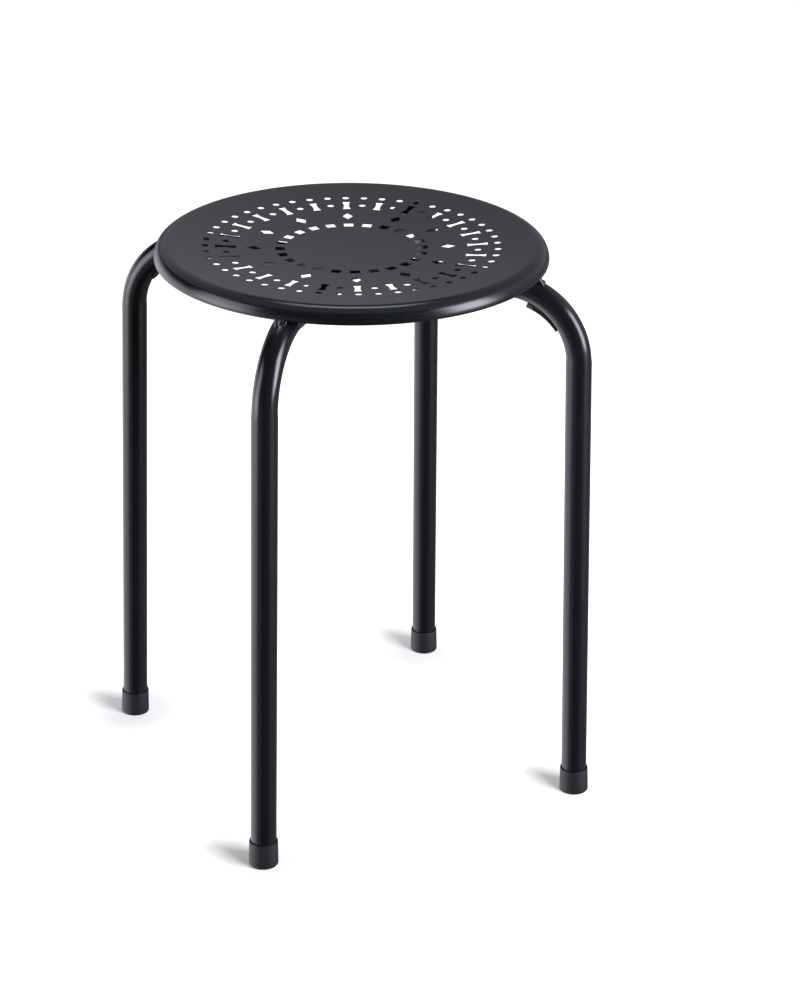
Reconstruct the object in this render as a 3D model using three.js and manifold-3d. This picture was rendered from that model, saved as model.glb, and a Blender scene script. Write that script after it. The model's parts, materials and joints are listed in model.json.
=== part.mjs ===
// Stacking stool: a dished and perforated steel seat pan on four bent tube legs.
// Lengths are in millimetres and angles in degrees. +Z is up, the floor is z = 0 and the stool's axis is Z.

import * as THREE from 'three';
import { mergeVertices } from 'three/addons/utils/BufferGeometryUtils.js';
import Module from 'manifold-3d';

const wasm = await Module();
wasm.setup();

// Whole stool
const stoolHeight = 444.5;
const footCircleDiameter = 386;
const legPlaces = ['front_right', 'back_right', 'back_left', 'front_left'];
const firstLegAngle = -45;
const seatingGap = 0.3;

// Leg tube
const tubeDiameter = 20;
const tubeWall = 1.2;
const bendRadius = 58;
const legLean = 1.25;

// Seat pan
const panDiameter = 307;
const panSheet = 0.6;
const dishDepth = 7;
const armClearance = 1.5;
const rimWidth = 10;
const hemRadius = 2;
const hemReturn = 2.5;

// Perforations, in rows round the pan that share one pitch
const pitchCount = 48;
const patternTurn = 22.5;
const outerDotCircle = 226.4;
const outerDotDiameter = 5.5;
const boneCircle = 195.4;
const boneLength = 15.9;
const boneEndWidth = 7;
const boneWaistWidth = 4.1;
const innerDotCircle = 195.4;
const innerDotDiameter = 5.5;
const diamondCircle = 149.6;
const diamondLength = 13.6;
const diamondWidth = 8.8;
const windowCircle = 110.9;
const windowLength = 7.3;
const windowWidth = 7.5;

// Foot cap
const capHeight = 20;
const capMouthDiameter = 22.2;
const capFootDiameter = 23;
const capFloor = 3;
const capEdgeRadius = 1.6;
const capMouthChamfer = 0.4;

// Stacking pad, along the inside of the bend: its angles and spans are degrees of the bend
const padHeadAngle = 70;
const padTailAngle = 32;
const padLugSpan = 6.5;
const padSlotSpan = 8;
const padTailPegSpan = 9;
const padWidth = 8;
const padHeadHeight = 3.3;
const padTailHeight = 1.2;
const padStrapThickness = 1.3;
const padPegDiameter = 4.4;
const padPegReach = 2.4;

// Weld beads
const rimBeadRadius = 3;
const rimBeadWidth = 10.4;
const rimBeadReach = 4;
const rimBeadOverlap = 0.25;
const hubBeadRadius = 2.2;
const hubBeadRise = 25;

// Facets
const tubeSides = 16;
const boreSides = 10;
const dotSides = 8;
const beadSides = 6;
const beadRings = 4;
const bendSteps = 8;
const pegSides = 10;
const capSides = 20;
const edgeSteps = 3;
const rollSteps = 5;
const hemSteps = 5;
const padSteps = 7;
const beadSteps = 10;

// Finishes
const panCoat = { color: 0x3f4042, roughness: 0.42, metalness: 0.25 };
const tubeCoat = { color: 0x232426, roughness: 0.3, metalness: 0.3 };
const beadCoat = { color: 0x2a2b2d, roughness: 0.25, metalness: 0.35 };
const capPlastic = { color: 0x2b2c2d, roughness: 0.7, metalness: 0 };
const padPlastic = { color: 0x1f2021, roughness: 0.65, metalness: 0 };

const radians = THREE.MathUtils.degToRad;

// Heights and places that follow from the sizes above
const tubeRadius = tubeDiameter / 2;
const panRadius = panDiameter / 2;
const lean = radians(legLean);
const dishBottomZ = stoolHeight - dishDepth;
const armZ = dishBottomZ - panSheet - armClearance - tubeRadius;
const bendCentreZ = armZ - bendRadius;
const bendCentreR = footCircleDiameter / 2 - bendCentreZ * Math.tan(lean) - bendRadius / Math.cos(lean);

// The hem rests on the outside of the four bends, which sets how deep the rim is.
const hemCentreR = panRadius - hemRadius;
const hemOverBend = Math.max(0, hemCentreR - bendCentreR);
const hemToBendCentre = bendRadius + tubeRadius + seatingGap + hemRadius;
const hemCentreZ = bendCentreZ + Math.sqrt(hemToBendCentre ** 2 - hemOverBend ** 2);
const hemRestAngle = Math.acos(hemOverBend / hemToBendCentre);
const rimDepth = stoolHeight - hemCentreZ;
const rimCentreR = panRadius - rimWidth;

const padSlotTopAngle = padHeadAngle - padLugSpan;
const padSlotFootAngle = padSlotTopAngle - padSlotSpan;
const padPegAngles = [padHeadAngle - padLugSpan / 2, padTailAngle + padTailPegSpan];

// Solids and meshes

function solidOf(geometry) {
  geometry.deleteAttribute('normal');
  geometry.deleteAttribute('uv');
  const merged = mergeVertices(geometry);
  const index = merged.index.array;
  // A lathe's pole leaves triangles with two corners alike: they are dropped here.
  const corners = [];
  for (let i = 0; i < index.length; i += 3) {
    const [a, b, c] = [index[i], index[i + 1], index[i + 2]];
    if (a !== b && b !== c && c !== a) corners.push(a, b, c);
  }
  const vertProperties = merged.getAttribute('position').array;
  const triVerts = Uint32Array.from(corners);
  return new wasm.Manifold(new wasm.Mesh({ numProp: 3, vertProperties, triVerts }));
}

function meshOf(name, solid, coat) {
  const { vertProperties, triVerts } = solid.getMesh();
  const geometry = new THREE.BufferGeometry();
  geometry.setAttribute('position', new THREE.BufferAttribute(vertProperties, 3));
  geometry.setIndex(new THREE.BufferAttribute(triVerts, 1));
  geometry.computeVertexNormals();
  const mesh = new THREE.Mesh(geometry, new THREE.MeshStandardMaterial(coat));
  mesh.name = name;
  return mesh;
}

function joined(solids) {
  return solids.reduce((whole, solid) => whole.add(solid));
}

// A profile of [radius, height] points, turned about Z.
function turned(profile, sides, startAngle = 0) {
  const points = profile.map(([radius, height]) => new THREE.Vector2(radius, height));
  const geometry = new THREE.LatheGeometry(points, sides, startAngle, 2 * Math.PI);
  geometry.rotateX(Math.PI / 2);
  return solidOf(geometry);
}

// Points along an ellipse's arc in the radius and height plane, ends included.
function arc(centreR, centreZ, radiusR, radiusZ, from, to, steps) {
  const points = [];
  for (let i = 0; i <= steps; i += 1) {
    const angle = radians(THREE.MathUtils.lerp(from, to, i / steps));
    points.push([centreR + radiusR * Math.cos(angle), centreZ + radiusZ * Math.sin(angle)]);
  }
  return points;
}

// Leg line: level from the stool's axis, round the bend, then down with the leg's lean.
// It lies in the plane of X, which runs outwards, and Z.
class LegLine extends THREE.Curve {
  constructor(footEnd) {
    super();
    const down = new THREE.Vector3(Math.sin(lean), 0, -Math.cos(lean));
    this.stations = [new THREE.Vector3(0, 0, armZ)];
    this.tangents = [new THREE.Vector3(1, 0, 0)];
    for (let i = 0; i <= bendSteps; i += 1) {
      const angle = radians(THREE.MathUtils.lerp(90, legLean, i / bendSteps));
      const [outward, upward] = [Math.cos(angle), Math.sin(angle)];
      const x = bendCentreR + bendRadius * outward;
      const z = bendCentreZ + bendRadius * upward;
      this.stations.push(new THREE.Vector3(x, 0, z));
      this.tangents.push(new THREE.Vector3(upward, 0, -outward));
    }
    this.stations.push(footPoint(footEnd));
    this.tangents.push(down);
  }

  get steps() {
    return this.stations.length - 1;
  }

  getPointAt(u) {
    return this.stations[Math.round(u * this.steps)].clone();
  }

  getTangentAt(u) {
    return this.tangents[Math.round(u * this.steps)].clone();
  }
}

// A point on the leg's straight axis, at a distance up from where the axis meets the floor.
function footPoint(distance) {
  const x = footCircleDiameter / 2 - distance * Math.sin(lean);
  return new THREE.Vector3(x, 0, distance * Math.cos(lean));
}

function circle(radius, sides) {
  const points = [];
  for (let i = 0; i < sides; i += 1) {
    const angle = (2 * Math.PI * i) / sides;
    points.push(new THREE.Vector2(radius * Math.cos(angle), radius * Math.sin(angle)));
  }
  return points;
}

function legSweep(outerRadius, innerRadius, footEnd) {
  const section = new THREE.Shape(circle(outerRadius, tubeSides));
  if (innerRadius > 0) section.holes.push(new THREE.Path(circle(innerRadius, boreSides)));
  const line = new LegLine(footEnd);
  return solidOf(new THREE.ExtrudeGeometry(section, { steps: line.steps, extrudePath: line }));
}

// Height of the tube's upper surface over a point in plan.
function tubeTop(x, y) {
  const crown = Math.sqrt(tubeRadius ** 2 - y ** 2);
  const pastBend = Math.max(0, x - bendCentreR);
  return bendCentreZ + Math.sqrt((bendRadius + crown) ** 2 - pastBend ** 2);
}

// A peg or drill that points out of the bend's centre, at an angle up from level.
function bendPin(angle, radius, from, to) {
  const pin = new THREE.CylinderGeometry(radius, radius, to - from, pegSides);
  pin.translate(0, (from + to) / 2, 0);
  pin.rotateX(Math.PI / 2);
  pin.rotateY(Math.PI / 2 - radians(angle));
  pin.translate(bendCentreR, 0, bendCentreZ);
  return solidOf(pin);
}

// Seat pan

const pitchAngle = (2 * Math.PI) / pitchCount;
const firstPitchAngle = radians(firstLegAngle + patternTurn);
// The pan has one facet to a pitch, turned so that each hole lies in the middle of a facet.
const panTurn = firstPitchAngle + pitchAngle / 2;

function pitchesEvery(step, start = 0) {
  const pitches = [];
  for (let pitch = start; pitch < pitchCount; pitch += step) pitches.push(pitch);
  return pitches;
}

function dot(diameter) {
  return new THREE.Shape(circle(diameter / 2, dotSides));
}

function polygon(corners) {
  return new THREE.Shape(corners.map(([x, y]) => new THREE.Vector2(x, y)));
}

// Two flared ends with a hollow curve down each long side.
function bone() {
  const [x, y] = [boneLength / 2, boneEndWidth / 2];
  const pull = boneWaistWidth - y;
  const shape = new THREE.Shape();
  shape.moveTo(-x, -y);
  shape.quadraticCurveTo(0, -pull, x, -y);
  shape.lineTo(x, y);
  shape.quadraticCurveTo(0, pull, -x, y);
  return shape;
}

function diamond() {
  const [x, y] = [diamondLength / 2, diamondWidth / 2];
  return polygon([[-x, 0], [0, -y], [x, 0], [0, y]]);
}

function windowShape() {
  const [x, y] = [windowLength / 2, windowWidth / 2];
  return polygon([[-x, -y], [x, -y], [x, y], [-x, y]]);
}

const perforations = [
  { shape: windowShape(), circle: windowCircle, reach: windowLength, pitches: pitchesEvery(2) },
  { shape: diamond(), circle: diamondCircle, reach: diamondLength, pitches: pitchesEvery(4) },
  { shape: bone(), circle: boneCircle, reach: boneLength, pitches: pitchesEvery(2) },
  { shape: dot(innerDotDiameter), circle: innerDotCircle, reach: 0, pitches: pitchesEvery(2, 1) },
  { shape: dot(outerDotDiameter), circle: outerDotCircle, reach: outerDotDiameter, pitches: pitchesEvery(1) },
];

function punches() {
  const bottom = dishBottomZ - 2 * panSheet;
  const options = { depth: stoolHeight - bottom, bevelEnabled: false, curveSegments: 4 };
  const tools = [];
  for (const { shape, circle, pitches } of perforations) {
    for (const pitch of pitches) {
      const tool = new THREE.ExtrudeGeometry(shape, options);
      tool.translate(circle / 2, 0, bottom);
      tool.rotateZ(firstPitchAngle + pitch * pitchAngle);
      tools.push(solidOf(tool));
    }
  }
  return joined(tools);
}

// Radii where the dish changes slope: halfway across each plain band that a row of holes leaves.
function dishRadii(edge) {
  const rows = perforations.filter(({ reach }) => reach > 0);
  const bandStarts = [0, ...rows.map(({ circle, reach }) => (circle + reach) / 2)];
  const bandEnds = [...rows.map(({ circle, reach }) => (circle - reach) / 2), edge];
  return bandStarts.map((start, i) => (start + bandEnds[i]) / 2);
}

// One face of the sheet, from the axis out and down to the hem: inset is 0 on top and the sheet underneath.
function panFace(inset) {
  const slope = (2 * dishDepth) / rimCentreR;
  const meet = 90 + THREE.MathUtils.radToDeg(Math.atan((slope * rimWidth) / rimDepth));
  const [width, depth] = [rimWidth - inset, rimDepth - inset];
  const crown = arc(rimCentreR, hemCentreZ, width, depth, meet, 90, 1);
  const roll = arc(rimCentreR, hemCentreZ, width, depth, 90, 0, rollSteps).slice(1);
  const [edgeR, edgeZ] = crown[0];
  const bottomZ = dishBottomZ - inset;
  const dish = [0, ...dishRadii(edgeR)].map((radius) => {
    return [radius, bottomZ + (edgeZ - bottomZ) * (radius / edgeR) ** 2];
  });
  const hem = arc(hemCentreR, hemCentreZ, hemRadius - inset, hemRadius - inset, 0, -180, hemSteps).slice(1);
  return [...dish, ...crown, ...roll, ...hem, [hem.at(-1)[0], hemCentreZ + hemReturn]];
}

function seatPan() {
  const profile = [...panFace(0), ...panFace(panSheet).reverse()];
  return turned(profile.reverse(), pitchCount, panTurn).subtract(punches());
}

// Leg tube: each arm is cut to a point, so that the four meet on the stool's axis like mitred corners.

function mitreWedge() {
  const halfAngle = Math.PI / legPlaces.length;
  const tip = seatingGap / 2 / Math.sin(halfAngle);
  const length = footCircleDiameter;
  const side = length * Math.tan(halfAngle);
  const wedge = new THREE.ExtrudeGeometry(polygon([[tip, 0], [tip + length, -side], [tip + length, side]]), {
    depth: stoolHeight,
    bevelEnabled: false,
  });
  return solidOf(wedge);
}

function legTube() {
  const footEnd = capFloor + seatingGap;
  const tube = legSweep(tubeRadius, tubeRadius - tubeWall, footEnd).intersect(mitreWedge());
  const drillRadius = padPegDiameter / 2 + seatingGap;
  const drillStart = bendRadius - tubeDiameter;
  const drills = padPegAngles.map((angle) => bendPin(angle, drillRadius, drillStart, bendRadius));
  return tube.subtract(joined(drills));
}

// The room that a leg takes up, with the seating gap round it.
const legRoom = legSweep(tubeRadius + seatingGap, 0, capFloor);

// Foot cap: a moulded cup square to the leg, whose sole is cut level with the floor.

function footCap() {
  const mouth = capMouthDiameter / 2;
  const foot = capFootDiameter / 2;
  const bore = tubeRadius + seatingGap;
  const trim = foot * Math.tan(lean);
  const profile = [
    [0, -trim],
    ...arc(foot - capEdgeRadius, capEdgeRadius - trim, capEdgeRadius, capEdgeRadius, -90, 0, edgeSteps),
    [mouth, capHeight - capMouthChamfer],
    [mouth - capMouthChamfer, capHeight],
    [bore, capHeight],
    [bore, capFloor],
    [0, capFloor],
  ];
  const aboveFloor = new THREE.BoxGeometry(2 * capFootDiameter, 2 * capFootDiameter, 2 * capHeight);
  aboveFloor.translate(footCircleDiameter / 2, 0, capHeight);
  return turned(profile, capSides)
    .rotate([0, -legLean, 0])
    .translate([footCircleDiameter / 2, 0, 0])
    .intersect(solidOf(aboveFloor));
}

// Stacking pad: a strap whose head stands on a lug. A saddle hugs the tube, and two pegs press into it.

function bendArc(radiusAt, from, to, steps) {
  const points = [];
  for (let i = 0; i <= steps; i += 1) {
    const angle = THREE.MathUtils.lerp(from, to, i / steps);
    const radius = radiusAt(angle);
    const turn = radians(angle);
    points.push([bendCentreR + radius * Math.cos(turn), bendCentreZ + radius * Math.sin(turn)]);
  }
  return points;
}

function acrossLeg(outline, width) {
  const slab = new THREE.ExtrudeGeometry(polygon(outline), { depth: width, bevelEnabled: false });
  slab.rotateX(Math.PI / 2);
  slab.translate(0, width / 2, 0);
  return solidOf(slab);
}

function stackPad() {
  const tubeInside = bendRadius - tubeRadius;
  const wingRadius = bendRadius - Math.sqrt(tubeRadius ** 2 - (padWidth / 2) ** 2);
  const heightAt = (angle) => {
    const along = (padHeadAngle - angle) / (padHeadAngle - padTailAngle);
    return THREE.MathUtils.lerp(padHeadHeight, padTailHeight, along);
  };
  const faceAt = (angle) => tubeInside - heightAt(angle);
  const strapBackAt = (angle) => faceAt(angle) + padStrapThickness;
  const outline = [
    ...bendArc(faceAt, padTailAngle, padHeadAngle, padSteps),
    ...bendArc(() => wingRadius, padHeadAngle, padTailAngle, padSteps),
  ];
  const slot = [
    ...bendArc(strapBackAt, padSlotFootAngle, padSlotTopAngle, 1),
    ...bendArc(() => bendRadius, padSlotTopAngle, padSlotFootAngle, 1),
  ];
  const saddle = acrossLeg(outline, padWidth).subtract(acrossLeg(slot, 2 * padWidth)).subtract(legRoom);
  const pegStart = tubeInside - padTailHeight;
  const pegEnd = tubeInside + tubeWall + padPegReach;
  const pegs = padPegAngles.map((angle) => bendPin(angle, padPegDiameter / 2, pegStart, pegEnd));
  return joined([saddle, ...pegs]);
}

// Rim weld: a short row of puddles in the corner outside the hem, where it rests on the tube.

function rimRoom() {
  const [width, depth] = [rimWidth + seatingGap, rimDepth + seatingGap];
  const hem = hemRadius + seatingGap;
  const profile = [
    ...arc(rimCentreR, hemCentreZ, width, depth, 90, 0, rollSteps),
    ...arc(hemCentreR, hemCentreZ, hem, hem, 0, -180, hemSteps).slice(1),
    [rimCentreR, hemCentreZ],
    [rimCentreR, hemCentreZ + depth],
  ];
  return turned(profile.reverse(), pitchCount, panTurn);
}

function rimWeld() {
  const outerBendRadius = bendRadius + tubeRadius;
  const cornerAngle = hemRestAngle - rimBeadReach / outerBendRadius;
  const cornerR = Math.min(bendCentreR, hemCentreR) + outerBendRadius * Math.cos(cornerAngle);
  const corner = [];
  for (let i = 0; i <= beadSteps; i += 1) {
    const y = (rimBeadWidth - 2 * rimBeadRadius) * (i / beadSteps - 0.5);
    const x = Math.sqrt(cornerR ** 2 - y ** 2);
    corner.push(new THREE.Vector3(x, y, tubeTop(x, y) + seatingGap));
  }
  const line = new THREE.CatmullRomCurve3(corner);
  const pitches = Math.ceil(line.getLength() / (2 * rimBeadRadius * (1 - rimBeadOverlap)));
  const puddles = line.getSpacedPoints(pitches).map(({ x, y, z }) => {
    return solidOf(new THREE.SphereGeometry(rimBeadRadius, beadSides, beadRings).translate(x, y, z));
  });
  return joined(puddles).subtract(legRoom).subtract(rimRoom());
}

// Hub weld: beads that follow the mitres under the crossing of the arms and join below it.

function mitreBead(angle) {
  const halfAngle = Math.PI / legPlaces.length;
  const points = [];
  for (let i = 0; i <= beadSteps; i += 1) {
    const turn = radians(THREE.MathUtils.lerp(hubBeadRise, -180 - hubBeadRise, i / beadSteps));
    const across = (tubeRadius * Math.cos(turn)) / Math.sin(halfAngle);
    points.push(new THREE.Vector3(across, 0, armZ + tubeRadius * Math.sin(turn)));
  }
  const options = { steps: beadSteps, extrudePath: new THREE.CatmullRomCurve3(points) };
  const bead = new THREE.ExtrudeGeometry(new THREE.Shape(circle(hubBeadRadius, beadSides)), options);
  bead.rotateZ(angle);
  return solidOf(bead);
}

function hubWeld() {
  const legs = legPlaces.length;
  const beads = [];
  const rooms = [];
  for (let i = 0; i < legs; i += 1) {
    const legAngle = firstLegAngle + (360 / legs) * i;
    rooms.push(legRoom.rotate([0, 0, legAngle]));
    if (i < legs / 2) beads.push(mitreBead(radians(legAngle + 180 / legs)));
  }
  return joined(beads).subtract(joined(rooms));
}

// Assembly

const stool = new THREE.Group();
stool.add(meshOf('seat_pan', seatPan(), panCoat));
stool.add(meshOf('hub_weld', hubWeld(), beadCoat));

legPlaces.forEach((place, i) => {
  const leg = new THREE.Group();
  leg.rotation.z = radians(firstLegAngle + (360 / legPlaces.length) * i);
  leg.add(meshOf(`leg_tube_${place}`, legTube(), tubeCoat));
  leg.add(meshOf(`rim_weld_${place}`, rimWeld(), beadCoat));
  leg.add(meshOf(`stack_pad_${place}`, stackPad(), padPlastic));
  leg.add(meshOf(`foot_cap_${place}`, footCap(), capPlastic));
  stool.add(leg);
});

export default stool;
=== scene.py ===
"""Looks of a stacking stool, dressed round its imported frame.

The stool is welded steel under black powder coat: a pressed and perforated pan with a rolled rim, on four
bent tubes that cross under it. Moulded pads line the bends and moulded caps close the feet.
Names that end in _mm are millimetres. Meshes, points and places are in metres.
"""

import json
import logging
import math
from bisect import bisect_left
from collections.abc import Iterator, Sequence
from contextlib import contextmanager
from dataclasses import dataclass
from enum import Enum
from itertools import accumulate
from random import Random
from typing import Any

import bpy
from bpy.types import Material, Node, NodeSocket, NodeTree, Object
from mathutils import Matrix, Vector


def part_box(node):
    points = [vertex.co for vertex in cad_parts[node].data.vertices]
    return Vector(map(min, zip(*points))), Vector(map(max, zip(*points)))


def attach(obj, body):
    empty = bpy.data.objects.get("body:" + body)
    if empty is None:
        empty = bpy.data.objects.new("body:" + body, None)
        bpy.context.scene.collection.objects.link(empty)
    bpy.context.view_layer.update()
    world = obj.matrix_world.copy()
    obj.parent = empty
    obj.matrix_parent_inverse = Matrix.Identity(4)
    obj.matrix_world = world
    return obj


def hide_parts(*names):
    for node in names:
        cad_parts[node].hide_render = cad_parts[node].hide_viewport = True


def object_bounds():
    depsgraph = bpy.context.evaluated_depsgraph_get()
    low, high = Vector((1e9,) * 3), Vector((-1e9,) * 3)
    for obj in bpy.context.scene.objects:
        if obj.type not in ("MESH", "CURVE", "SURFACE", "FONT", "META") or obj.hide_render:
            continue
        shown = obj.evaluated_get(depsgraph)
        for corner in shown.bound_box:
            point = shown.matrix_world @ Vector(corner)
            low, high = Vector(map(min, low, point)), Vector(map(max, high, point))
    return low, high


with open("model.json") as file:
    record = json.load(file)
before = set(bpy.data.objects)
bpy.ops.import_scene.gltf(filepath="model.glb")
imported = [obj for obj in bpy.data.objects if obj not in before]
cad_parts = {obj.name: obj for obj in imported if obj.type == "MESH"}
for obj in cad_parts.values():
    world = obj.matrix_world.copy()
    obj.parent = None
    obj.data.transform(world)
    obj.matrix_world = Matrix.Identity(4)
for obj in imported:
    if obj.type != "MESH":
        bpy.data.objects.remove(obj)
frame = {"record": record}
cad_low, cad_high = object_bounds()

log = logging.getLogger("stool")

MM = 0.001
BODY = "root"
PAINTED_SHEEN_PLACES = "painted_sheen"
HOLE_SIDES = 24
HALF_CORNER = math.pi / 4


class Parts(Enum):
    """What an edit-mode selection picks."""

    VERTS = "VERT"
    EDGES = "EDGE"
    FACES = "FACE"


class LegPlace(Enum):
    """The four legs, each with its direction from the stool's axis, in degrees from +X."""

    FRONT_RIGHT = -45
    BACK_RIGHT = 45
    BACK_LEFT = 135
    FRONT_LEFT = 225

    @property
    def label(self) -> str:
        """The place as the frame's nodes write it."""
        return self.name.lower()


# Helpers for modelling


def clear_selection() -> None:
    """Leave object mode with nothing selected and nothing active."""
    if bpy.context.object and bpy.context.object.mode != "OBJECT":
        bpy.ops.object.mode_set(mode="OBJECT")
    bpy.ops.object.select_all(action="DESELECT")
    bpy.context.view_layer.objects.active = None


def pick(piece: Object) -> None:
    """Make one piece the only selected one, and the active one."""
    clear_selection()
    piece.select_set(True)
    bpy.context.view_layer.objects.active = piece


def named(name: str) -> Object:
    """Name the primitive that was just added, and its mesh."""
    piece = bpy.context.object
    piece.name = name
    piece.data.name = name
    return piece


@contextmanager
def editing(piece: Object, parts: Parts = Parts.EDGES) -> Iterator[None]:
    """Edit one piece, with all of its parts of one kind selected at first."""
    pick(piece)
    bpy.ops.object.mode_set(mode="EDIT")
    bpy.ops.mesh.select_mode(type=parts.value)
    bpy.ops.mesh.select_all(action="SELECT")
    yield
    bpy.ops.object.mode_set(mode="OBJECT")


def modified(piece: Object, kind: str, **settings: Any) -> None:
    """Add a modifier to a piece and apply it.

    Args:
        piece: The piece.
        kind: The modifier's type.
        **settings: The modifier's values.
    """
    pick(piece)
    modifier = piece.modifiers.new(kind.title(), kind)
    for key, value in settings.items():
        setattr(modifier, key, value)
    bpy.ops.object.modifier_apply(modifier=modifier.name)


def cut(piece: Object, tool: Object, how: str = "DIFFERENCE") -> None:
    """Cut a piece with a tool, or join the tool to it, and use the tool up.

    Args:
        piece: The piece.
        tool: The closed shape that cuts it.
        how: DIFFERENCE, UNION or INTERSECT.
    """
    modified(piece, "BOOLEAN", operation=how, object=tool, solver="EXACT")
    bpy.data.objects.remove(tool)


def cylinder(
    name: str,
    sides: int,
    radius: float,
    depth: float,
    place: Sequence[float],
    tilt: float = 0,
    ends: str = "NGON",
) -> Object:
    """Add a cylinder round a place, with its axis tilted from Z towards X by an angle in degrees."""
    clear_selection()
    bpy.ops.mesh.primitive_cylinder_add(
        vertices=sides,
        radius=radius,
        depth=depth,
        end_fill_type=ends,
        location=place,
        rotation=(0, math.radians(tilt), 0),
    )
    return named(name)


def copied(piece: Object, name: str) -> Object:
    """Copy a piece with a mesh of its own."""
    copy = piece.copy()
    copy.data = piece.data.copy()
    copy.name = name
    copy.data.name = name
    bpy.context.scene.collection.objects.link(copy)
    return copy


def settled(piece: Object) -> None:
    """Move a piece's place, turn and scale into its mesh."""
    pick(piece)
    bpy.ops.object.transform_apply(location=True, rotation=True, scale=True)


def joined(pieces: Sequence[Object], name: str) -> Object:
    """Join several pieces into one object, with its place in its mesh."""
    clear_selection()
    for piece in pieces:
        piece.select_set(True)
    bpy.context.view_layer.objects.active = pieces[0]
    if len(pieces) > 1:
        bpy.ops.object.join()
    whole = named(name)
    settled(whole)
    return whole


def face_outwards(piece: Object) -> None:
    """Merge a piece's doubled points and turn all its faces outwards."""
    with editing(piece, Parts.VERTS):
        bpy.ops.mesh.remove_doubles(threshold=0.001 * MM)
        bpy.ops.mesh.normals_make_consistent(inside=False)


def slice_all(
    place: Sequence[float], normal: Sequence[float], keep_above: bool = False, fill: bool = False
) -> None:
    """In edit mode, slice the whole piece with a plane.

    Args:
        place: A point of the plane.
        normal: The plane's normal.
        keep_above: Whether what lies behind the plane goes.
        fill: Whether the slice is closed with a face.
    """
    bpy.ops.mesh.select_all(action="SELECT")
    bpy.ops.mesh.bisect(
        plane_co=place, plane_no=normal, clear_inner=keep_above, use_fill=fill, threshold=0.0001 * MM
    )


def smooth(piece: Object, crease: float = 30) -> None:
    """Shade a piece smooth, except across edges that turn by more than an angle in degrees."""
    pick(piece)
    bpy.ops.object.shade_smooth_by_angle(angle=math.radians(crease))


class Turning:
    """A skin turned about Z that grows ring by ring from its first disc, as on a lathe."""

    def __init__(self, name: str, radius: float, height: float, sides: int) -> None:
        """Start with a disc.

        Args:
            name: The piece's name.
            radius: The disc's radius.
            height: The disc's height.
            sides: How many sides each ring has.
        """
        clear_selection()
        bpy.ops.mesh.primitive_circle_add(
            vertices=sides, radius=radius, fill_type="TRIFAN", location=(0, 0, height)
        )
        self.piece = named(name)
        settled(self.piece)
        self.radius = radius
        self.height = height

    def grow(self, rings: Sequence[tuple[float, float]]) -> None:
        """Extrude the open edge through more rings.

        Args:
            rings: Each ring's radius and height.
        """
        with editing(self.piece):
            bpy.ops.mesh.region_to_loop()
            for radius, height in rings:
                rise = (0, 0, height - self.height)
                bpy.ops.mesh.extrude_edges_move(TRANSFORM_OT_translate={"value": rise})
                growth = radius / self.radius
                bpy.ops.transform.resize(value=(growth, growth, 1), center_override=(0, 0, 0))
                self.radius, self.height = radius, height

    def close(self) -> None:
        """Close the open edge with a face."""
        with editing(self.piece):
            bpy.ops.mesh.select_all(action="DESELECT")
            bpy.ops.mesh.select_non_manifold()
            bpy.ops.mesh.edge_face_add()


def arc(
    centre: tuple[float, float], radii: tuple[float, float], start: float, end: float, steps: int
) -> list[tuple[float, float]]:
    """Points along an ellipse's arc, in the plane of radius and height, ends included.

    Args:
        centre: The ellipse's middle.
        radii: Its half widths along radius and height.
        start: The first angle in degrees, from the outward direction up.
        end: The last angle.
        steps: How many steps the arc has.

    Returns:
        The points, each a radius and a height.
    """
    points = []
    for i in range(steps + 1):
        angle = math.radians(start + (end - start) * i / steps)
        points.append((centre[0] + radii[0] * math.cos(angle), centre[1] + radii[1] * math.sin(angle)))
    return points


# Finishes


def linear(colour: str) -> tuple[float, float, float, float]:
    """Turn an sRGB hex colour into linear red, green, blue and an alpha of 1."""
    values = []
    for i in (1, 3, 5):
        level = int(colour[i : i + 2], 16) / 255
        values.append(level / 12.92 if level <= 0.04045 else ((level + 0.055) / 1.055) ** 2.4)
    return (values[0], values[1], values[2], 1.0)


def add_node(
    tree: NodeTree,
    kind: str,
    settings: dict[str, Any] | None = None,
    inputs: dict[str | int, Any] | None = None,
) -> Node:
    """Add a node to a tree.

    Args:
        tree: The tree.
        kind: The node's type.
        settings: Values of the node itself.
        inputs: For each input, by name or place, its value or the output socket that it is linked to.

    Returns:
        The node.
    """
    node = tree.nodes.new(kind)
    for key, value in (settings or {}).items():
        setattr(node, key, value)
    for key, value in (inputs or {}).items():
        if isinstance(value, NodeSocket):
            tree.links.new(value, node.inputs[key])
        else:
            node.inputs[key].default_value = value
    return node


def blended(tree: NodeTree, share: NodeSocket, first: Any, second: Any) -> NodeSocket:
    """Blend two colours, each a value or a socket, by the share from 0 to 1 of the second one."""
    inputs = {0: share, 6: first, 7: second}
    return add_node(tree, "ShaderNodeMix", settings={"data_type": "RGBA"}, inputs=inputs).outputs[2]


def empty_tree(owner: Any) -> NodeTree:
    """Let a material or a world use nodes, and clear its tree."""
    owner.use_nodes = True
    owner.node_tree.nodes.clear()
    return owner.node_tree


def new_material(name: str) -> tuple[Material, NodeTree]:
    """Make a material, with its empty tree."""
    material = bpy.data.materials.new(name)
    return material, empty_tree(material)


def object_place(tree: NodeTree) -> NodeSocket:
    """The place on the piece, in metres."""
    return add_node(tree, "ShaderNodeTexCoord").outputs["Object"]


def computed(tree: NodeTree, operation: str, first: Any, second: Any) -> NodeSocket:
    """Work out a number from two, each a value or a socket."""
    inputs = {0: first, 1: second}
    return add_node(tree, "ShaderNodeMath", settings={"operation": operation}, inputs=inputs).outputs[0]


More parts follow.
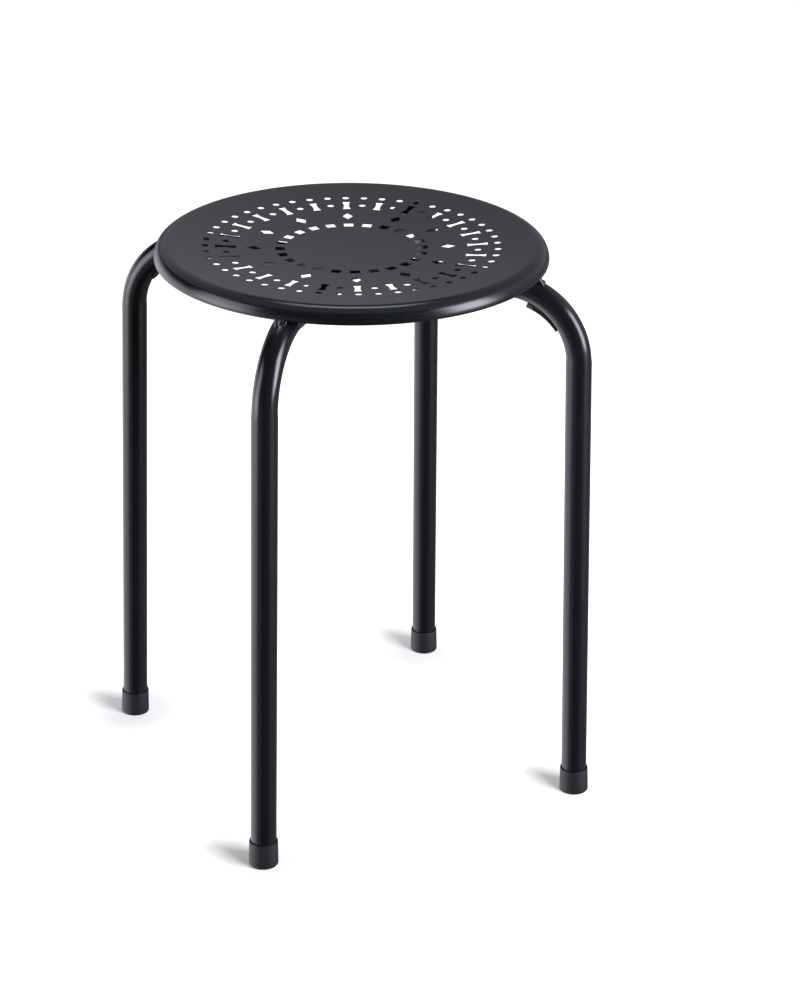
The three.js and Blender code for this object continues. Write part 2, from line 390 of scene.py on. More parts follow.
def vector_math(tree: NodeTree, operation: str, *vectors: Any) -> NodeSocket:
    """Work out a vector from one or two, or a number for a distance or a dot product."""
    node = add_node(
        tree, "ShaderNodeVectorMath", settings={"operation": operation}, inputs=dict(enumerate(vectors))
    )
    return node.outputs["Value" if operation in ("DISTANCE", "DOT_PRODUCT") else "Vector"]


def ranged(
    tree: NodeTree,
    value: NodeSocket,
    span: tuple[float, float],
    levels: tuple[float, float] = (0.0, 1.0),
    soft: bool = False,
) -> NodeSocket:
    """Turn one range of values into another.

    Args:
        tree: The tree.
        value: The value.
        span: The two ends of its range.
        levels: The results at the two ends, which also hold past them.
        soft: Whether the result eases in and out.

    Returns:
        The result.
    """
    node = add_node(
        tree,
        "ShaderNodeMapRange",
        settings={"interpolation_type": "SMOOTHSTEP" if soft else "LINEAR"},
        inputs=dict(enumerate((value, *span, *levels))),
    )
    return node.outputs[0]


def noise(tree: NodeTree, place: NodeSocket, size_mm: float, detail: float) -> NodeSocket:
    """Noise from 0 to 1, whose features are a size in millimetres."""
    inputs = {"Vector": place, "Scale": 1 / (size_mm * MM), "Detail": detail}
    return add_node(tree, "ShaderNodeTexNoise", inputs=inputs).outputs[0]


@dataclass(frozen=True)
class Finish:
    """A coat or a bare surface with a fine relief. The waves and the grain each have a size and a depth."""

    name: str
    slot: str
    colour: str
    shade: str
    roughness: float
    ior: float
    relief_mm: tuple[float, float]
    grain_mm: tuple[float, float]
    cloud_mm: float = 45
    roughness_drift: float = 0.03

    def material(self) -> Material:
        """The finish as a material, made on its first use."""
        made = bpy.data.materials.get(self.name)
        return made or self._made()

    def _made(self) -> Material:
        """Build the material: a cloudy colour and gloss, and a relief of waves and grain."""
        material, tree = new_material(self.name)
        place = object_place(tree)
        clouds = noise(tree, place, self.cloud_mm, detail=3.0)
        drift = self.roughness_drift
        gloss = ranged(tree, clouds, (0.0, 1.0), (self.roughness - drift, self.roughness + drift))
        surface = {}
        for (size_mm, depth_mm), detail in ((self.relief_mm, 1.0), (self.grain_mm, 2.0)):
            height = noise(tree, place, size_mm, detail)
            inputs = {"Strength": 1.0, "Distance": depth_mm * MM, "Height": height, **surface}
            surface = {"Normal": add_node(tree, "ShaderNodeBump", inputs=inputs).outputs[0]}
        shader = add_node(
            tree,
            "ShaderNodeBsdfPrincipled",
            inputs={"Base Color": self.tint(tree, clouds), "Roughness": gloss, "IOR": self.ior, **surface},
        )
        add_node(tree, "ShaderNodeOutputMaterial", inputs={"Surface": shader.outputs[0]})
        return material

    def tint(self, tree: NodeTree, clouds: NodeSocket) -> NodeSocket:
        """The colour, which drifts between its two shades as the clouds run from 0 to 1."""
        return blended(tree, clouds, linear(self.colour), linear(self.shade))


@dataclass(frozen=True)
class PaintedSheenFinish(Finish):
    """A finish with a painted sheen: painted pale grey where the piece's own attribute says so."""

    painted_sheen: str = "#5a5a5c"

    def tint(self, tree: NodeTree, clouds: NodeSocket) -> NodeSocket:
        """The colour, with the places of its painted sheen."""
        sheen = add_node(tree, "ShaderNodeAttribute", settings={"attribute_name": PAINTED_SHEEN_PLACES})
        return blended(tree, sheen.outputs["Fac"], super().tint(tree, clouds), linear(self.painted_sheen))


# Powder coat is polyester powder baked to one skin. Where it lies flat it is satin, with low waves called orange
# peel, so that the seat shows broad soft reflections and no sharp ones.
SATIN_POWDER_COAT = Finish(
    name="satin_black_powder_coat",
    slot="pan_coat",
    colour="#0f1114",
    shade="#121418",
    roughness=0.23,
    ior=1.5,
    relief_mm=(1.9, 0.012),
    grain_mm=(0.45, 0.004),
)

# On drawn tube the same powder flows out smoother, so that it is glossier and draws long clean highlights down
# the legs.
GLOSSY_POWDER_COAT = Finish(
    name="semi_gloss_black_powder_coat",
    slot="tube_coat",
    colour="#111215",
    shade="#141518",
    roughness=0.21,
    ior=1.5,
    relief_mm=(2.4, 0.008),
    grain_mm=(0.6, 0.002),
)

# Over a weld the powder is thick and pools in the ripples, which makes it the glossiest place.
POOLED_POWDER_COAT = Finish(
    name="pooled_black_powder_coat",
    slot="weld_coat",
    colour="#101113",
    shade="#141517",
    roughness=0.14,
    ior=1.5,
    relief_mm=(1.2, 0.02),
    grain_mm=(0.5, 0.004),
)

# Low density polyethylene from a spark-eroded mould: dull, a little waxy, with a fine even grain.
MOULDED_CAP_PLASTIC = Finish(
    name="black_moulded_polyethylene",
    slot="cap_plastic",
    colour="#1a1a1b",
    shade="#1e1f20",
    roughness=0.55,
    ior=1.51,
    relief_mm=(3.5, 0.01),
    grain_mm=(0.5, 0.02),
)

# The pads are a harder grade in the same black, a little glossier. Their lugs are painted pale grey, a painted
# sheen that stands in for the light on the lug's side.
MOULDED_PAD_PLASTIC = PaintedSheenFinish(
    name="black_moulded_pad_polyethylene",
    slot="pad_plastic",
    colour="#0e0e0f",
    shade="#121213",
    roughness=0.42,
    ior=1.51,
    relief_mm=(3.0, 0.01),
    grain_mm=(0.4, 0.015),
)


def dress(piece: Object, finish: Finish, *nodes: str) -> None:
    """Give a piece its finish and body, and let it stand for its nodes of the frame.

    Args:
        piece: The finished piece.
        finish: Its finish.
        *nodes: The frame's nodes that it replaces.
    """
    piece.data.materials.clear()
    piece.data.materials.append(finish.material())
    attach(piece, BODY)
    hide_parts(*nodes)
    log.info("%s: %d faces, %s", piece.name, len(piece.data.polygons), finish.name)


# The stool


@dataclass(frozen=True)
class Layout:
    """Sizes that several pieces share. The frame gives the first three, and the rest follow the real stool."""

    height: float
    pan_radius: float
    foot_radius: float
    tube_radius: float = 10 * MM
    tube_wall: float = 1.2 * MM
    bend_radius: float = 58 * MM
    lean: float = math.radians(1.25)
    dish_depth: float = 7 * MM
    sheet: float = 0.6 * MM
    arm_clearance: float = 1.5 * MM
    rim_width: float = 10 * MM
    hem_radius: float = 2 * MM
    peg_radius: float = 2.2 * MM
    peg_angles: tuple[float, float] = (66.75, 41.0)
    cap_floor: float = 3 * MM
    gap: float = 0.3 * MM

    @property
    def dish_bottom(self) -> float:
        """Height of the seat's top face at its middle."""
        return self.height - self.dish_depth

    @property
    def arm_height(self) -> float:
        """Height of the axis of the level part of a tube."""
        return self.dish_bottom - self.sheet - self.arm_clearance - self.tube_radius

    @property
    def bend_centre(self) -> tuple[float, float]:
        """The middle of a bend, as a radius and a height."""
        height = self.arm_height - self.bend_radius
        leg_radius = self.foot_radius - height * math.tan(self.lean)
        return leg_radius - self.bend_radius / math.cos(self.lean), height

    @property
    def hem_centre(self) -> tuple[float, float]:
        """The middle of the hem's curl, which rests on the bends, as a radius and a height."""
        radius = self.pan_radius - self.hem_radius
        past_bend = max(0.0, radius - self.bend_centre[0])
        reach = self.bend_radius + self.tube_radius + self.gap + self.hem_radius
        return radius, self.bend_centre[1] + math.sqrt(reach**2 - past_bend**2)

    def on_bend(self, angle: float, radius: float, across: float = 0.0) -> Vector:
        """A point round a bend's middle, in the upright plane of a leg that points along +X.

        Args:
            angle: Degrees up from level.
            radius: Distance from the bend's middle.
            across: Distance out of the plane.

        Returns:
            The point.
        """
        turn = math.radians(angle)
        centre_r, centre_z = self.bend_centre
        return Vector((centre_r + radius * math.cos(turn), across, centre_z + radius * math.sin(turn)))


@dataclass(frozen=True)
class Row:
    """One ring of equal holes in the seat: its circle, which pitches it takes and the hole's size."""

    circle_mm: float
    every: int
    first: int
    length_mm: float
    width_mm: float


@dataclass
class SeatPan:
    """The pressed seat: a shallow dish with a rolled rim, a hem and rings of punched holes."""

    layout: Layout
    hem_return: float = 2.5 * MM
    sides: int = 192
    dish_step: float = 4 * MM
    pitches: int = 48
    pattern_turn: float = -22.5
    windows: Row = Row(110.9, 2, 0, 7.3, 7.5)
    diamonds: Row = Row(149.6, 4, 0, 13.6, 8.8)
    bones: Row = Row(195.4, 2, 0, 15.9, 7.0)
    inner_dots: Row = Row(195.4, 2, 1, 5.5, 5.5)
    outer_dots: Row = Row(226.4, 1, 0, 5.5, 5.5)
    bone_waist_mm: float = 4.1
    edge_radius: float = 0.25 * MM
    edge_angles: tuple[float, ...] = (30, 55, 76)
    crown_steps: int = 30
    hem_steps: int = 16
    bone_steps: int = 12

    def build(self) -> Object:
        """Turn the skin, thicken it into sheet, punch the holes and dress it."""
        (first_radius, first_height), *rings = self.profile()
        turning = Turning("seat_pan_pressing", first_radius, first_height, self.sides)
        turning.grow(rings)
        pan = turning.piece
        face_outwards(pan)
        modified(pan, "SOLIDIFY", thickness=self.layout.sheet, offset=-1.0, use_even_offset=True)
        cut(pan, self.punches())
        smooth(pan, crease=14)
        dress(pan, SATIN_POWDER_COAT, "seat_pan")
        return pan

    def dish(self, radius: float) -> tuple[float, float]:
        """Height and slope of the dish's top face at a radius."""
        edge_radius, edge_height = self.crown()[0]
        rise = edge_height - self.layout.dish_bottom
        share = radius / edge_radius
        return self.layout.dish_bottom + rise * share**2, 2 * rise * share / edge_radius

    def crown(self) -> list[tuple[float, float]]:
        """The top face's profile from the edge of the dish over the rolled rim."""
        layout = self.layout
        depth = layout.height - layout.hem_centre[1]
        centre = (layout.pan_radius - layout.rim_width, layout.hem_centre[1])
        slope = 2 * layout.dish_depth / centre[0]
        meet = 90 + math.degrees(math.atan(slope * layout.rim_width / depth))
        return arc(centre, (layout.rim_width, depth), meet, 0, self.crown_steps)

    def profile(self) -> list[tuple[float, float]]:
        """The top face's whole profile: dish, rolled rim, hem and the hem's return."""
        crown = self.crown()
        rings = math.ceil(crown[0][0] / self.dish_step)
        dish = []
        for i in range(1, rings):
            radius = crown[0][0] * i / rings
            dish.append((radius, self.dish(radius)[0]))
        curl = self.layout.hem_radius
        hem = arc(self.layout.hem_centre, (curl, curl), 0, -180, self.hem_steps)[1:]
        end = (hem[-1][0], hem[-1][1] + self.hem_return)
        return [*dish, *crown, *hem, end]

    def punches(self) -> Object:
        """All the punches in their places, joined into one tool."""
        shapes = {
            self.windows: self.window_outline,
            self.diamonds: self.diamond_outline,
            self.bones: self.bone_outline,
            self.inner_dots: self.dot_outline,
            self.outer_dots: self.dot_outline,
        }
        tools = []
        for row, outline in shapes.items():
            punch = outline(row)
            self.shape_punch(punch, row)
            radius = row.circle_mm / 2 * MM
            height, slope = self.dish(radius)
            seat = Matrix.Translation((radius, 0, height)) @ Matrix.Rotation(-math.atan(slope), 4, "Y")
            for pitch in range(row.first, self.pitches, row.every):
                turn = math.radians(self.pattern_turn + pitch * 360 / self.pitches)
                tool = copied(punch, f"punch_{len(tools)}")
                tool.matrix_world = Matrix.Rotation(turn, 4, "Z") @ seat
                tools.append(tool)
            bpy.data.objects.remove(punch)
        return joined(tools, "punches")

    def dot_outline(self, row: Row) -> Object:
        """A round hole's outline."""
        clear_selection()
        bpy.ops.mesh.primitive_circle_add(vertices=HOLE_SIDES, radius=row.length_mm / 2 * MM, fill_type="NGON")
        return named("dot_punch")

    def diamond_outline(self, row: Row) -> Object:
        """A diamond's outline, pointing along the radius."""
        clear_selection()
        bpy.ops.mesh.primitive_circle_add(vertices=4, radius=0.5 * MM, fill_type="NGON")
        return self.sized(named("diamond_punch"), row)

    def window_outline(self, row: Row) -> Object:
        """A four-sided window's outline."""
        clear_selection()
        bpy.ops.mesh.primitive_plane_add(size=MM)
        return self.sized(named("window_punch"), row)

    @staticmethod
    def sized(punch: Object, row: Row) -> Object:
        """Stretch an outline of 1 mm to a row's size."""
        punch.scale = (row.length_mm, row.width_mm, 1)
        settled(punch)
        return punch

    def bone_outline(self, row: Row) -> Object:
        """A bone's outline: two flared ends and a hollow curve down each long side."""
        clear_selection()
        bpy.ops.mesh.primitive_grid_add(x_subdivisions=self.bone_steps, y_subdivisions=1, size=MM)
        punch = named("bone_punch")
        for point in punch.data.vertices:
            along = 2 * point.co.x / MM
            flare = row.width_mm * along**2 + self.bone_waist_mm * (1 - along**2)
            point.co.y = math.copysign(flare / 2 * MM, point.co.y)
            point.co.x = row.length_mm / 2 * MM * along
        return punch

    def shape_punch(self, punch: Object, row: Row) -> None:
        """Draw a punch's outline up into a tool that also rounds the hole's upper edge.

        Args:
            punch: The flat outline, at height 0.
            row: The row that it punches, for its size.
        """
        half_length, half_width = row.length_mm / 2 * MM, row.width_mm / 2 * MM
        edge = self.edge_radius
        # Each step is a widening and a height. The punch starts well below the sheet and ends well above it.
        steps = [(0.0, -3 * self.layout.sheet), (0.0, -edge)]
        for angle in self.edge_angles:
            turn = math.radians(angle)
            steps.append((edge * (1 - math.cos(turn)), edge * (math.sin(turn) - 1)))
        steps.append((steps[-1][0] + edge, edge / 4))
        steps.append((steps[-1][0], 2 * self.layout.sheet))
        with editing(punch, Parts.FACES):
            flare, height = steps[0]
            bpy.ops.transform.translate(value=(0, 0, height))
            for next_flare, next_height in steps[1:]:
                rise = (0, 0, next_height - height)
                bpy.ops.mesh.extrude_region_move(TRANSFORM_OT_translate={"value": rise})
                growth = (
                    (half_length + next_flare) / (half_length + flare),
                    (half_width + next_flare) / (half_width + flare),
                    1,
                )
                bpy.ops.transform.resize(value=growth, center_override=(0, 0, 0))
                flare, height = next_flare, next_height
        face_outwards(punch)


@dataclass
class LegTube:
    """A bent tube: a level arm cut to a point at the stool's axis, a bend and a leaning leg."""

    layout: Layout
    sides: int = 48
    bend_steps: int = 40
    bend_squeeze: float = 0.03
    squeeze_step: float = 4.0

    def build(self) -> Object:
        """Model one tube, with its arm along +X."""
        layout = self.layout
        centre_r, centre_z = layout.bend_centre
        clear_selection()
        bpy.ops.mesh.primitive_circle_add(
            vertices=self.sides,
            radius=layout.tube_radius,
            fill_type="NOTHING",
            location=(0, 0, layout.arm_height),
            rotation=(0, math.pi / 2, 0),
        )
        tube = named("leg_tube")
        settled(tube)
        bend = math.pi / 2 - layout.lean
        rest = centre_z / math.cos(layout.lean) - layout.bend_radius * math.tan(layout.lean)
        rest -= layout.cap_floor + layout.gap
        down = Vector((math.sin(layout.lean), 0, -math.cos(layout.lean))) * rest
        with editing(tube):
            bpy.ops.mesh.extrude_edges_move(TRANSFORM_OT_translate={"value": (centre_r, 0, 0)})
            bpy.ops.mesh.spin(
                steps=self.bend_steps, angle=bend, center=(centre_r, 0, centre_z), axis=(0, -1, 0)
            )
            bpy.ops.mesh.extrude_edges_move(TRANSFORM_OT_translate={"value": down})
            self.mitre()
        face_outwards(tube)
        self.squeeze_bend(tube)
        modified(tube, "SOLIDIFY", thickness=layout.tube_wall, offset=-1.0, use_even_offset=True)
        self.drill(tube)
        smooth(tube)
        return tube

    def mitre(self) -> None:
        """Cut the arm's inner end along two upright planes, so that four arms meet like mitred corners."""
        tip = self.layout.gap / 2 / math.sin(HALF_CORNER)
        for side in (-1, 1):
            slice_all((tip, 0, 0), (1, side, 0), keep_above=True)

    def squeeze_bend(self, tube: Object) -> None:
        """Slim the tube a little inside the bend, as the bending die does, with a step where the die ends."""
        layout = self.layout
        centre_r, centre_z = layout.bend_centre
        for point in tube.data.vertices:
            out, up = point.co.x - centre_r, point.co.z - centre_z
            if out > 0 and up > 0:
                angle = math.degrees(math.atan2(up, out))
                into_bend = min(angle - math.degrees(layout.lean), 90 - angle)
                share = 1 - self.bend_squeeze * max(0.0, min(1.0, into_bend / self.squeeze_step))
                axis = layout.on_bend(angle, layout.bend_radius)
                point.co = axis + (point.co - axis) * share

    def drill(self, tube: Object) -> None:
        """Drill the holes for the pad's two pegs."""
        layout = self.layout
        radius = layout.peg_radius + layout.gap
        drills = []
        for angle in layout.peg_angles:
            middle = layout.on_bend(angle, layout.bend_radius - layout.tube_radius)
            drills.append(cylinder("drill", HOLE_SIDES, radius, layout.tube_radius, middle, tilt=90 - angle))
        cut(tube, joined(drills, "drills"))


@dataclass
class Weld:
    """Weld metal: puddles of melt that run into one another."""

    layout: Layout
    voxel: float = 0.28 * MM
    smoothing: float = 0.5
    smoothing_rounds: int = 3

    def melted(self, name: str, puddles: Sequence[tuple[Vector, float]]) -> Object:
        """Melt puddles, each a middle and a radius, into one skin."""
        drops = []
        for middle, radius in puddles:
            clear_selection()
            bpy.ops.mesh.primitive_uv_sphere_add(segments=20, ring_count=12, radius=radius, location=middle)
            drops.append(named("puddle"))
        weld = joined(drops, name)
        modified(weld, "REMESH", mode="VOXEL", voxel_size=self.voxel)
        modified(weld, "SMOOTH", factor=self.smoothing, iterations=self.smoothing_rounds)
        smooth(weld, crease=60)
        return weld


def spaced(line: Sequence[Vector], pitch: float) -> list[Vector]:
    """Points spread evenly along a line of points, at about a pitch, ends included."""
    lengths = [0.0, *accumulate((end - start).length for start, end in zip(line, line[1:]))]
    count = max(1, round(lengths[-1] / pitch))
    places = []
    for i in range(count + 1):
        wanted = lengths[-1] * i / count
        j = min(max(1, bisect_left(lengths, wanted)), len(lengths) - 1)
        share = (wanted - lengths[j - 1]) / (lengths[j] - lengths[j - 1])
        places.append(line[j - 1].lerp(line[j], share))
    return places


# A puddle of a rim weld: across the tube, down from where the hem rests, up from the tube, and its radius.
Puddle = tuple[float, float, float, float]


@dataclass
class RimWeld(Weld):
    """The weld that fills the corner between the hem and the top of a tube."""

    # Each run's start and end.
    runs_mm: tuple[tuple[Puddle, Puddle], ...] = (
        ((-3.0, 0.9, 2.4, 1.9), (-1.9, 5.2, -1.2, 2.1)),
        ((0.6, 0.9, 1.6, 1.7), (0.8, 3.2, -1.3, 1.6)),
        ((3.2, 0.6, 0.8, 1.6), (3.0, 2.6, -0.8, 1.5)),
        ((2.9, 4.0, -0.1, 1.5), (3.0, 4.6, -0.2, 1.5)),
    )
    run_steps: int = 7

    def build(self) -> Object:
        """Model one weld, for the tube along +X."""
        layout = self.layout
        hem_r, hem_z = layout.hem_centre
        centre_r, centre_z = layout.bend_centre
        rest = math.atan2(hem_z - centre_z, hem_r - centre_r)
        puddles = []
        for start, end in self.runs_mm:
            for i in range(self.run_steps + 1):
                share = i / self.run_steps
                across, down, up, radius = (MM * (a + (b - a) * share) for a, b in zip(start, end))
                angle = rest - down / (layout.bend_radius + layout.tube_radius)
                crown = layout.bend_radius + math.sqrt(layout.tube_radius**2 - across**2)
                puddles.append((layout.on_bend(math.degrees(angle), crown + up, across), radius))
        return self.melted("rim_weld", puddles)


@dataclass
class HubWeld(Weld):
    """The beads along the mitres under the crossing of the four arms."""

    radius: float = 2.1 * MM
    pitch: float = 2.6 * MM
    rise: float = 12.0
    line_steps: int = 40
    size_spread: tuple[float, float] = (0.88, 1.08)
    seed: int = 11

    def build(self) -> Object:
        """Model both beads, which cross below the stool's axis, and dress them."""
        layout = self.layout
        chance = Random(self.seed)
        puddles = []
        for angle in (0, math.pi / 2):
            line = []
            for i in range(self.line_steps + 1):
                turn = math.radians(self.rise - (180 + 2 * self.rise) * i / self.line_steps)
                across = layout.tube_radius * math.cos(turn) / math.sin(HALF_CORNER)
                height = layout.arm_height + layout.tube_radius * math.sin(turn)
                line.append(Vector((across * math.cos(angle), across * math.sin(angle), height)))
            for place in spaced(line, self.pitch):
                puddles.append((place, self.radius * chance.uniform(*self.size_spread)))
        weld = self.melted("hub_weld_bead", puddles)
        dress(weld, POOLED_POWDER_COAT, "hub_weld")
        return weld


@dataclass
class StackPad:
    """The moulded pad in a bend: a strap with a raised head, a saddle for the tube and two pegs."""

    layout: Layout
    head_angle: float = 70.0
    tail_angle: float = 32.0
    lug_span: float = 6.5
    slot_span: float = 8.0
    width: float = 8 * MM
    head_height: float = 3.3 * MM
    tail_height: float = 1.2 * MM
    strap: float = 1.3 * MM
    peg_reach: float = 2.4 * MM
    edge_radius: float = 0.7 * MM
    edge_steps: int = 3
    saddle_sides: int = 96
    slices: int = 30
    sheen_margin: float = 0.1

    @property
    def face_radius(self) -> float:
        """Distance of the tube's inner side from the bend's middle."""
        return self.layout.bend_radius - self.layout.tube_radius

    def along(self, angle: float) -> float:
        """Distance along the pad, from its tail, of a bend angle in degrees."""
        return math.radians(angle - self.tail_angle) * self.face_radius

    def box(self, name: str, span: tuple[float, float], heights: tuple[float, float], width: float) -> Object:
        """A block on the straightened pad, between two bend angles and two heights above the tube."""
        clear_selection()
        start, end = self.along(span[0]), self.along(span[1])
        low, high = heights
        bpy.ops.mesh.primitive_cube_add(size=1, location=((start + end) / 2, 0, (low + high) / 2))
        block = named(name)
        block.scale = (end - start, width, high - low)
        settled(block)
        return block

    def build(self) -> Object:
        """Model one pad straight, with its tail at the origin, and wrap it round the bend."""
        layout = self.layout
        tube = layout.tube_radius
        slot_top = self.head_angle - self.lug_span
        slot_foot = slot_top - self.slot_span
        pad = self.box("stack_pad", (self.tail_angle, self.head_angle), (-tube, self.head_height), self.width)
        for point in pad.data.vertices:
            if point.co.z > 0:
                point.co.z = self.height_at(point.co.x)
        modified(
            pad,
            "BEVEL",
            width=self.edge_radius,
            segments=self.edge_steps,
            limit_method="ANGLE",
            angle_limit=math.radians(40),
        )
        room = 4 * self.along(self.head_angle)
        cut(pad, cylinder("tube_room", self.saddle_sides, tube + layout.gap, room, (0, 0, -tube), tilt=90))
        with editing(pad, Parts.FACES):
            wing = math.sqrt(tube**2 - (self.width / 2) ** 2) - tube
            slice_all((0, 0, wing), (0, 0, 1), keep_above=True, fill=True)
        slot_roof = self.height_at(self.along((slot_foot + slot_top) / 2)) - self.strap
        cut(pad, self.box("slot", (slot_foot, slot_top), (-tube, slot_roof), 2 * self.width))
        for angle in layout.peg_angles:
            cut(pad, self.peg(angle), "UNION")
        self.wrap(pad)
        face_outwards(pad)
        smooth(pad, crease=35)
        return pad

    def height_at(self, place: float) -> float:
        """Height of the strap's face above the tube, at a distance along the pad."""
        share = place / self.along(self.head_angle)
        return self.tail_height + (self.head_height - self.tail_height) * share

    def peg(self, angle: float) -> Object:
        """A round peg that reaches from the saddle into the tube."""
        layout = self.layout
        top = self.tail_height / 2
        foot = -(layout.tube_wall + self.peg_reach)
        place = (self.along(angle), 0, (top + foot) / 2)
        return cylinder("peg", HOLE_SIDES, layout.peg_radius, top - foot, place)

    def wrap(self, pad: Object) -> None:
        """Slice the straight pad and wrap it round the inside of the bend."""
        length = self.along(self.head_angle)
        with editing(pad, Parts.FACES):
            for i in range(1, self.slices):
                slice_all((length * i / self.slices, 0, 0), (1, 0, 0))
        # The lug is marked for the painted sheen, which paints it pale grey.
        sheen_start = self.head_angle - self.lug_span - self.sheen_margin
        painted_sheen = pad.data.attributes.new(PAINTED_SHEEN_PLACES, "FLOAT", "POINT")
        for point, sheen in zip(pad.data.vertices, painted_sheen.data):
            angle = self.tail_angle + math.degrees(point.co.x / self.face_radius)
            sheen.value = 1.0 if angle > sheen_start else 0.0
            point.co = self.layout.on_bend(angle, self.face_radius - point.co.z, point.co.y)


@dataclass
class FootCap:
    """The moulded cap on a leg's end: a cup square to the leg, with a level sole."""

    layout: Layout
    height: float = 20 * MM
    mouth_radius: float = 11.1 * MM
    foot_radius: float = 11.5 * MM
    edge_radius: float = 1.6 * MM
    lip_radius: float = 0.45 * MM
    edge_steps: int = 8
    lip_steps: int = 5
    sides: int = 64

    def build(self) -> Object:
        """Turn one cap from the middle of its bore out and round to its sole, for the leg along +X."""
        layout = self.layout
        bore = layout.tube_radius + layout.gap
        trim = self.foot_radius * math.tan(layout.lean)
        lip = self.lip_radius
        turning = Turning("foot_cap", bore / 2, layout.cap_floor, self.sides)
        rings = [(bore, layout.cap_floor), (bore, self.height - lip / 2), (bore + lip / 2, self.height)]
        rings += arc((self.mouth_radius - lip, self.height - lip), (lip, lip), 90, 0, self.lip_steps)
        side = self.edge_radius
        rings += arc((self.foot_radius - side, side - trim), (side, side), 0, -90, self.edge_steps)
        rings.append((self.foot_radius / 2, -trim))
        turning.grow(rings)
        turning.close()
        cap = turning.piece
        cap.rotation_euler = (0, -layout.lean, 0)
        cap.location = (layout.foot_radius, 0, 0)
        settled(cap)
        with editing(cap, Parts.FACES):
            slice_all((0, 0, 0), (0, 0, 1), keep_above=True, fill=True)
        face_outwards(cap)
        smooth(cap, crease=25)
        return cap


@dataclass
class Leg:
    """One leg's four pieces, modelled once and turned to each place."""

    layout: Layout

    def build(self) -> None:
        """Model each piece along +X, then copy it to the four places and dress the copies."""
        patterns = [
            (LegTube(self.layout).build(), "leg_tube", "bent_tube", GLOSSY_POWDER_COAT),
            (RimWeld(self.layout).build(), "rim_weld", "rim_weld_bead", POOLED_POWDER_COAT),
            (StackPad(self.layout).build(), "stack_pad", "moulded_pad", MOULDED_PAD_PLASTIC),
            (FootCap(self.layout).build(), "foot_cap", "moulded_cap", MOULDED_CAP_PLASTIC),
        ]
        for pattern, node, name, finish in patterns:
            for place in LegPlace:
                piece = copied(pattern, f"{name}_{place.label}")
                piece.rotation_euler = (0, 0, math.radians(place.value))
                settled(piece)
                dress(piece, finish, f"{node}_{place.label}")
            bpy.data.objects.remove(pattern)


# Studio


@dataclass(frozen=True)
class Softbox:
    """A soft rectangular lamp that faces the stool."""

    name: str
    azimuth: float
    elevation: float
    distance: float
    width: float
    height: float
    radiance: float
    in_gloss: bool = True

    def build(self, aim: Vector, camera_azimuth: float) -> None:
        """Hang the lamp round the stool.

        Args:
            aim: The point that it faces.
            camera_azimuth: The camera's own direction in degrees, from which the lamp's is counted.
        """
        turn = math.radians(camera_azimuth + self.azimuth)
        rise = math.radians(self.elevation)
        away = Vector((math.cos(turn) * math.cos(rise), math.sin(turn) * math.cos(rise), math.sin(rise)))
        lamp = bpy.data.lights.new(self.name, "AREA")
        lamp.shape = "RECTANGLE"
        lamp.size = self.width
        lamp.size_y = self.height
        lamp.energy = self.radiance * math.pi * self.width * self.height
        lamp.color = linear("#f6f8ff")[:3]
        holder = bpy.data.objects.new(self.name, lamp)
        bpy.context.scene.collection.objects.link(holder)
        holder.location = aim + away * self.distance
        holder.rotation_euler = away.to_track_quat("Z", "Y").to_euler()
        holder.visible_camera = False
        holder.visible_glossy = self.in_gloss


@dataclass(frozen=True)
class Glow:
    """A soft-edged patch of light on the tent's cloth, with its middle's azimuth counted from the camera."""

    azimuth: float
    spread: float
    low: float
    high: float
    softness: float
    radiance: float

    def level(
        self, tree: NodeTree, around: NodeSocket, upward: NodeSocket, camera_azimuth: float
    ) -> NodeSocket:
        """Draw the patch's brightness.

        Args:
            tree: The cloth's node tree.
            around: The level direction from the tent's middle, of length 1.
            upward: The sine of the direction's angle up from level.
            camera_azimuth: The camera's own direction in degrees.

        Returns:
            The brightness of the cloth in each direction.
        """
        turn = math.radians(camera_azimuth + self.azimuth)
        middle = vector_math(tree, "DOT_PRODUCT", around, (math.cos(turn), math.sin(turn), 0))
        near, soft = 90 - self.spread, self.softness / 2
        level = self.radiance
        for sine, dark, full in (
            (middle, near - self.softness, near + self.softness),
            (upward, self.low - soft, self.low + soft),
            (upward, self.high + soft, self.high - soft),
        ):
            span = (math.sin(math.radians(dark)), math.sin(math.radians(full)))
            level = computed(tree, "MULTIPLY", ranged(tree, sine, span, soft=True), level)
        return level


